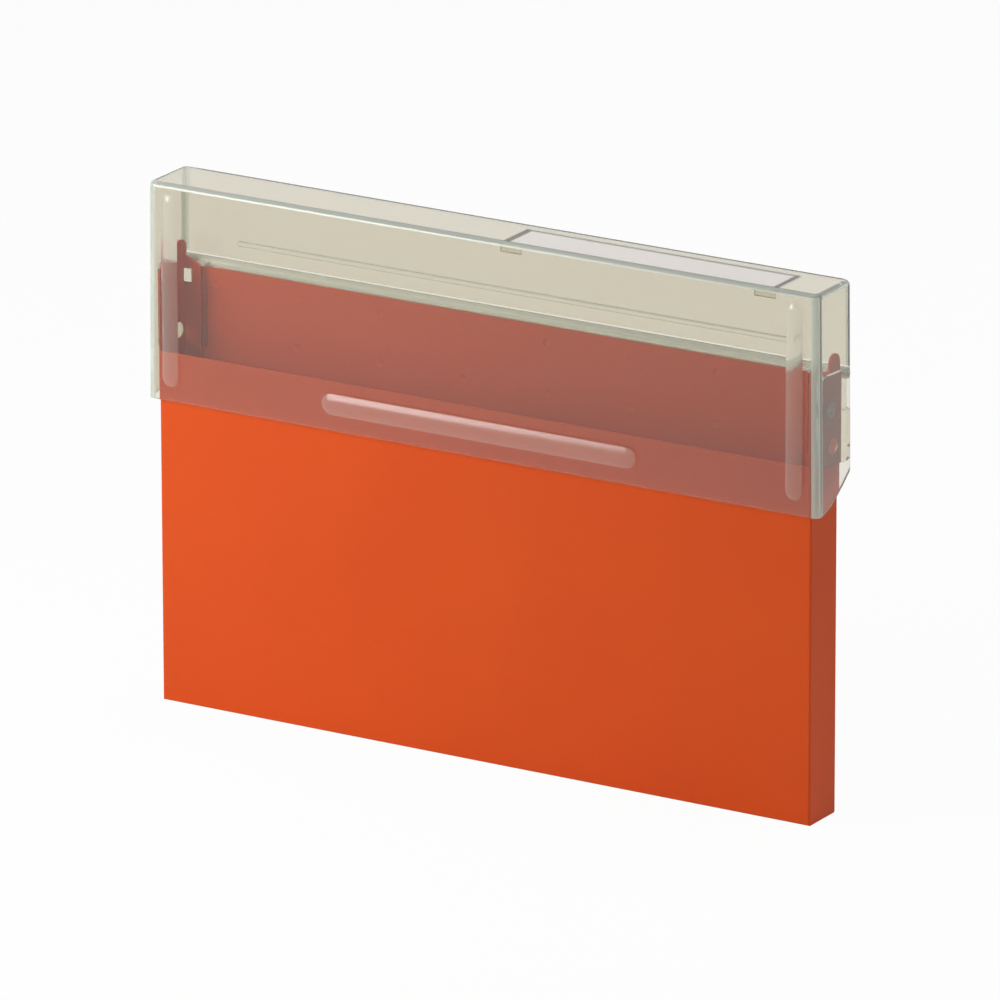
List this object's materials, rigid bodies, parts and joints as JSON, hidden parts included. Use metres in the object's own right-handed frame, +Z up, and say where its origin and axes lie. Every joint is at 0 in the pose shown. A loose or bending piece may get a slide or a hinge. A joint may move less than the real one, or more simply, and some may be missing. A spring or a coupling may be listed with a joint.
{
  "type": "document case",
  "caption": "Upright document case: a folded sheet case with a clear frame round its top and a clear flip lid that turns back on two pins.",
  "frame": {"origin": "on the standing surface, under the middle of the object's bounding box", "axes": "+X along the case's length to the right, +Y to the back, +Z up; the case stands upright on its bottom fold"},
  "size_m": [0.33, 0.0314, 0.2323],
  "materials": {
    "case_sheet": "satin polypropylene sheet",
    "clear_frame": "clear moulded plastic, slight green-grey tint",
    "clear_lid": "clear moulded plastic, slight green-grey tint",
    "clear_cover": "clear moulded plastic, slight green-grey tint",
    "card": "smooth pale card",
    "rivets": "clear moulded plastic",
    "hinge_pins": "clear moulded plastic"
  },
  "bodies": {
    "case": {"case_body": "case_sheet", "hinge_frame": "clear_frame", "rivet_left": "rivets", "rivet_right": "rivets"},
    "lid": {"lid": "clear_lid", "label_cover": "clear_cover", "label_card": "card", "hinge_pin_left": "hinge_pins", "hinge_pin_right": "hinge_pins"}
  },
  "joints": [
    {"name": "lid_hinge", "type": "hinge", "parent": "case", "child": "lid", "pos_m": [0, 0.01295, 0.192], "axis": [-1, 0, 0], "range_deg": [0, 145]}
  ]
}
